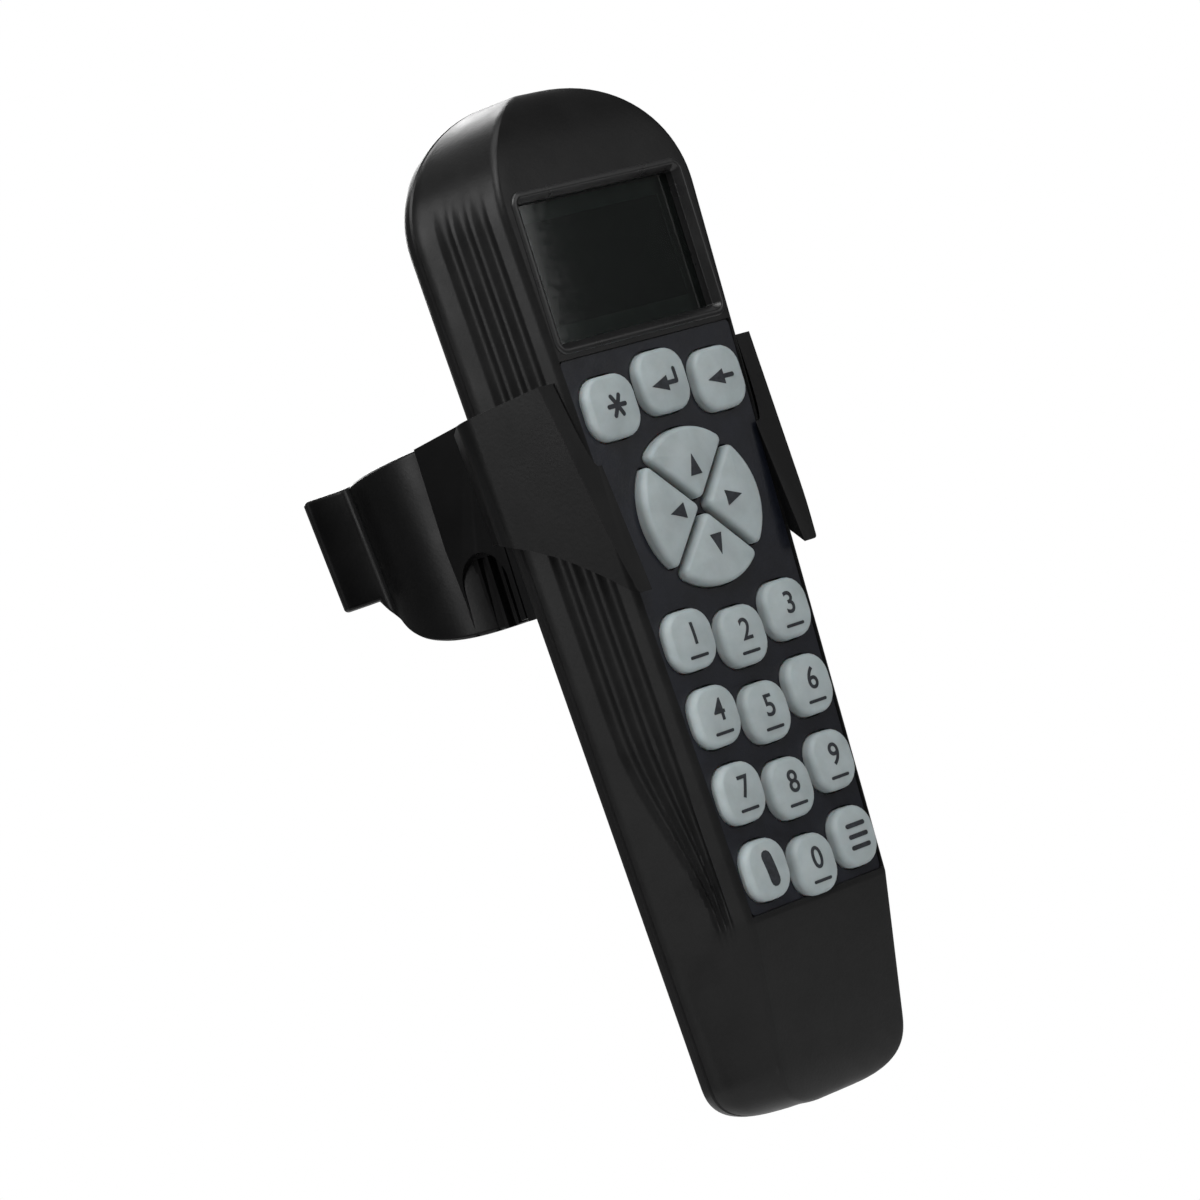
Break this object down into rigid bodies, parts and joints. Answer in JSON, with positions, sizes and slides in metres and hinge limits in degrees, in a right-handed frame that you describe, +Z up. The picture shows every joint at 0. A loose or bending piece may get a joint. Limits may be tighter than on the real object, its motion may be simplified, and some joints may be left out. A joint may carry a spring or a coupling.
{
  "type": "telescope hand controller",
  "caption": "Long handset with a display window, a direction pad and a keypad, lifted out of a cradle that slides onto a tripod leg clamp.",
  "frame": {"origin": "centre of the leg clamp's bore", "axes": "+Z runs up the handset, towards the display end; the keys face -Y; +X is to the right when the keys face the viewer. The leg's axis leans 6 degrees from +Z towards +Y."},
  "size_m": [0.0622, 0.0746, 0.1781],
  "materials": {
    "case_plastic": "fine moulded texture, satin black",
    "panel_film": "bluish-black printed film, semi-gloss",
    "bezel_plastic": "semi-gloss black",
    "window_plastic": "smoked clear window, polished",
    "lcd_glass": "dark greenish liquid crystal glass",
    "sheet_steel": "tinned steel",
    "light_guide": "white diffusing plastic",
    "circuit_board": "green solder mask",
    "header_plastic": "black moulding",
    "ribbon_film": "amber flexible film",
    "screw_steel": "zinc plated",
    "chip_plastic": "black epoxy",
    "can_aluminium": "bare can",
    "contact_gold": "gold plated",
    "silicone": "translucent grey silicone",
    "socket_plastic": "black moulding",
    "holder_plastic": "satin black moulding",
    "key_plastic": "pale grey keypad, satin"
  },
  "bodies": {
    "leg_clamp": {"leg_clamp": "holder_plastic"},
    "holder": {"holder_cradle": "holder_plastic"},
    "handset": {"front_shell": "case_plastic", "rear_shell": "case_plastic", "key_panel": "panel_film", "window_bezel": "bezel_plastic", "window_lens": "window_plastic", "lcd_glass": "lcd_glass", "lcd_frame": "sheet_steel", "lcd_backlight": "light_guide", "lcd_board": "circuit_board", "lcd_ribbon": "ribbon_film", "lcd_screws": "screw_steel", "main_board": "circuit_board", "controller_chip": "chip_plastic", "support_chips": "chip_plastic", "crystal": "sheet_steel", "capacitors": "can_aluminium", "key_contacts": "contact_gold", "key_leds": "light_guide", "keypad_mat": "silicone", "board_screws": "screw_steel", "case_screws": "screw_steel", "jack_board": "circuit_board", "board_link": "header_plastic", "cord_jack": "socket_plastic", "cord_jack_contacts": "contact_gold", "serial_jack": "socket_plastic", "serial_jack_contacts": "contact_gold"},
    "key_align": {"key_align": "key_plastic"},
    "key_enter": {"key_enter": "key_plastic"},
    "key_back": {"key_back": "key_plastic"},
    "key_1": {"key_1": "key_plastic"},
    "key_2": {"key_2": "key_plastic"},
    "key_3": {"key_3": "key_plastic"},
    "key_4": {"key_4": "key_plastic"},
    "key_5": {"key_5": "key_plastic"},
    "key_6": {"key_6": "key_plastic"},
    "key_7": {"key_7": "key_plastic"},
    "key_8": {"key_8": "key_plastic"},
    "key_9": {"key_9": "key_plastic"},
    "key_info": {"key_info": "key_plastic"},
    "key_0": {"key_0": "key_plastic"},
    "key_menu": {"key_menu": "key_plastic"},
    "key_up": {"key_up": "key_plastic"},
    "key_left": {"key_left": "key_plastic"},
    "key_down": {"key_down": "key_plastic"},
    "key_right": {"key_right": "key_plastic"}
  },
  "joints": [
    {"name": "holder_slide", "type": "slide", "parent": "leg_clamp", "child": "holder", "axis": [0, 0, 1], "range_m": [0, 0.03]},
    {"name": "handset_lift", "type": "slide", "parent": "holder", "child": "handset", "axis": [0, 0, 1], "range_m": [0, 0.12]},
    {"name": "key_align_press", "type": "slide", "parent": "handset", "child": "key_align", "axis": [0, 1, 0], "range_m": [0, 0.001], "stiffness_N_per_m": 300},
    {"name": "key_enter_press", "type": "slide", "parent": "handset", "child": "key_enter", "axis": [0, 1, 0], "range_m": [0, 0.001], "stiffness_N_per_m": 300},
    {"name": "key_back_press", "type": "slide", "parent": "handset", "child": "key_back", "axis": [0, 1, 0], "range_m": [0, 0.001], "stiffness_N_per_m": 300},
    {"name": "key_1_press", "type": "slide", "parent": "handset", "child": "key_1", "axis": [0, 1, 0], "range_m": [0, 0.001], "stiffness_N_per_m": 300},
    {"name": "key_2_press", "type": "slide", "parent": "handset", "child": "key_2", "axis": [0, 1, 0], "range_m": [0, 0.001], "stiffness_N_per_m": 300},
    {"name": "key_3_press", "type": "slide", "parent": "handset", "child": "key_3", "axis": [0, 1, 0], "range_m": [0, 0.001], "stiffness_N_per_m": 300},
    {"name": "key_4_press", "type": "slide", "parent": "handset", "child": "key_4", "axis": [0, 1, 0], "range_m": [0, 0.001], "stiffness_N_per_m": 300},
    {"name": "key_5_press", "type": "slide", "parent": "handset", "child": "key_5", "axis": [0, 1, 0], "range_m": [0, 0.001], "stiffness_N_per_m": 300},
    {"name": "key_6_press", "type": "slide", "parent": "handset", "child": "key_6", "axis": [0, 1, 0], "range_m": [0, 0.001], "stiffness_N_per_m": 300},
    {"name": "key_7_press", "type": "slide", "parent": "handset", "child": "key_7", "axis": [0, 1, 0], "range_m": [0, 0.001], "stiffness_N_per_m": 300},
    {"name": "key_8_press", "type": "slide", "parent": "handset", "child": "key_8", "axis": [0, 1, 0], "range_m": [0, 0.001], "stiffness_N_per_m": 300},
    {"name": "key_9_press", "type": "slide", "parent": "handset", "child": "key_9", "axis": [0, 1, 0], "range_m": [0, 0.001], "stiffness_N_per_m": 300},
    {"name": "key_info_press", "type": "slide", "parent": "handset", "child": "key_info", "axis": [0, 1, 0], "range_m": [0, 0.001], "stiffness_N_per_m": 300},
    {"name": "key_0_press", "type": "slide", "parent": "handset", "child": "key_0", "axis": [0, 1, 0], "range_m": [0, 0.001], "stiffness_N_per_m": 300},
    {"name": "key_menu_press", "type": "slide", "parent": "handset", "child": "key_menu", "axis": [0, 1, 0], "range_m": [0, 0.001], "stiffness_N_per_m": 300},
    {"name": "key_up_press", "type": "slide", "parent": "handset", "child": "key_up", "axis": [0, 1, 0], "range_m": [0, 0.001], "stiffness_N_per_m": 300},
    {"name": "key_left_press", "type": "slide", "parent": "handset", "child": "key_left", "axis": [0, 1, 0], "range_m": [0, 0.001], "stiffness_N_per_m": 300},
    {"name": "key_down_press", "type": "slide", "parent": "handset", "child": "key_down", "axis": [0, 1, 0], "range_m": [0, 0.001], "stiffness_N_per_m": 300},
    {"name": "key_right_press", "type": "slide", "parent": "handset", "child": "key_right", "axis": [0, 1, 0], "range_m": [0, 0.001], "stiffness_N_per_m": 300}
  ]
}
